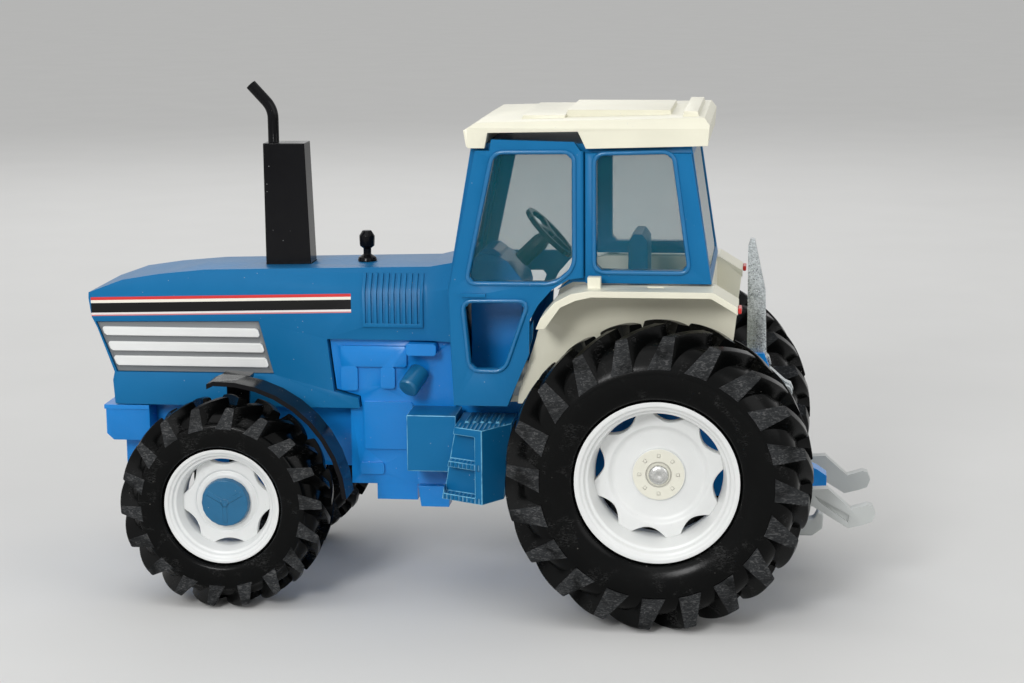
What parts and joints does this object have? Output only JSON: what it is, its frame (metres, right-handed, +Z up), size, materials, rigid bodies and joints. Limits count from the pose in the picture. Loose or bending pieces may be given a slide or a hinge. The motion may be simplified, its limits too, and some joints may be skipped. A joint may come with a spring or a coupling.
{
  "type": "toy farm tractor",
  "caption": "Scale-model farm tractor with a glazed cab, opening doors, steered front wheels, upright exhaust and a lever-worked rear lift.",
  "frame": {"origin": "on the ground at the middle of the overall length, on the centre line", "axes": "+X forward, +Y to the driver's left, +Z up"},
  "size_m": [0.1564, 0.0738, 0.101],
  "materials": {
    "blue_paint": "gloss enamel, mid blue",
    "bright_blue": "semi-gloss moulded blue",
    "cream": "satin cream plastic",
    "white": "satin white plastic",
    "grille": "white raised bars on grey",
    "black": "glossy black plastic",
    "tyre": "moulded black rubber",
    "clear": "clear moulded glazing",
    "steel": "zinc-plated steel",
    "light_grey": "light grey plastic",
    "red": "red paint",
    "hub_blue": "mid blue plastic"
  },
  "bodies": {
    "tractor": {"bonnet": "blue_paint", "cab_floor": "cream", "cab_frame": "blue_paint", "chassis": "bright_blue", "dash": "bright_blue", "exhaust": "black", "fender_left": "cream", "fender_right": "cream", "front_axle": "bright_blue", "front_grille": "grille", "oil_filter": "hub_blue", "pre_cleaner": "black", "rear_axle": "steel", "rear_window": "clear", "roof": "cream", "seat": "bright_blue", "side_glass_left": "clear", "side_glass_right": "clear", "side_grille_left": "grille", "side_grille_right": "grille", "steering_wheel": "black", "tail_lamp_left": "red", "tail_lamp_right": "red", "tank_step_left": "blue_paint", "tank_step_right": "blue_paint", "tow_hook": "light_grey", "windscreen": "clear"},
    "knuckle_left": {"knuckle_left": "bright_blue", "front_hub_left": "hub_blue", "front_mudguard_left": "black"},
    "knuckle_right": {"knuckle_right": "bright_blue", "front_hub_right": "hub_blue", "front_mudguard_right": "black"},
    "front_wheel_left": {"front_rim_left": "white", "front_tyre_left": "tyre"},
    "front_wheel_right": {"front_rim_right": "white", "front_tyre_right": "tyre"},
    "rear_wheel_left": {"rear_rim_left": "white", "rear_tyre_left": "tyre"},
    "rear_wheel_right": {"rear_rim_right": "white", "rear_tyre_right": "tyre"},
    "track_rod": {"track_rod": "steel"},
    "door_left": {"door_left": "blue_paint", "door_glass_left": "clear"},
    "door_right": {"door_right": "blue_paint", "door_glass_right": "clear"},
    "lift_lever": {"lift_lever": "steel"},
    "lift_link": {"lift_link": "steel"},
    "lift_yoke": {"lift_yoke": "light_grey"}
  },
  "joints": [
    {"name": "rear_wheel_left_spin", "type": "hinge", "parent": "tractor", "child": "rear_wheel_left", "pos_m": [-0.037, 0.02785, 0.029], "axis": [0, 1, 0], "continuous": true},
    {"name": "rear_wheel_right_spin", "type": "hinge", "parent": "tractor", "child": "rear_wheel_right", "pos_m": [-0.037, -0.02785, 0.029], "axis": [0, 1, 0], "continuous": true},
    {"name": "steer_left", "type": "hinge", "parent": "tractor", "child": "knuckle_left", "pos_m": [0.0477, 0.0142, 0.0207], "axis": [0, 0, 1], "range_deg": [-20, 20]},
    {"name": "front_wheel_left_spin", "type": "hinge", "parent": "knuckle_left", "child": "front_wheel_left", "pos_m": [0.0477, 0.0235, 0.0207], "axis": [0, 1, 0], "continuous": true},
    {"name": "steer_right", "type": "hinge", "parent": "tractor", "child": "knuckle_right", "pos_m": [0.0477, -0.0142, 0.0207], "axis": [0, 0, 1], "range_deg": [-20, 20]},
    {"name": "front_wheel_right_spin", "type": "hinge", "parent": "knuckle_right", "child": "front_wheel_right", "pos_m": [0.0477, -0.0235, 0.0207], "axis": [0, 1, 0], "continuous": true},
    {"name": "track_rod_swing", "type": "hinge", "parent": "knuckle_left", "child": "track_rod", "pos_m": [0.0397, 0.0142, 0.0163], "axis": [0, 0, 1], "range_deg": [-20, 20]},
    {"name": "door_left_swing", "type": "hinge", "parent": "tractor", "child": "door_left", "pos_m": [-0.0216, 0.0204, 0.066], "axis": [0, 0, 1], "range_deg": [0, 30]},
    {"name": "door_right_swing", "type": "hinge", "parent": "tractor", "child": "door_right", "pos_m": [-0.0216, -0.0204, 0.066], "axis": [0, 0, -1], "range_deg": [0, 30]},
    {"name": "lift_lever_tilt", "type": "hinge", "parent": "tractor", "child": "lift_lever", "pos_m": [-0.0547, 0, 0.045], "axis": [0, -1, 0], "range_deg": [-8, 25]},
    {"name": "lift_link_swing", "type": "hinge", "parent": "lift_lever", "child": "lift_link", "pos_m": [-0.0605, 0.0039, 0.0401], "axis": [0, -1, 0], "range_deg": [-25, 8]},
    {"name": "lift_yoke_tilt", "type": "hinge", "parent": "tractor", "child": "lift_yoke", "pos_m": [-0.057, 0, 0.022], "axis": [0, -1, 0], "range_deg": [-8, 25]}
  ],
  "couplings": [
    {"joint": "steer_right", "follows": "steer_left", "ratio": 1},
    {"joint": "track_rod_swing", "follows": "steer_left", "ratio": -1},
    {"joint": "lift_link_swing", "follows": "lift_lever_tilt", "ratio": -1},
    {"joint": "lift_yoke_tilt", "follows": "lift_lever_tilt", "ratio": 1}
  ]
}
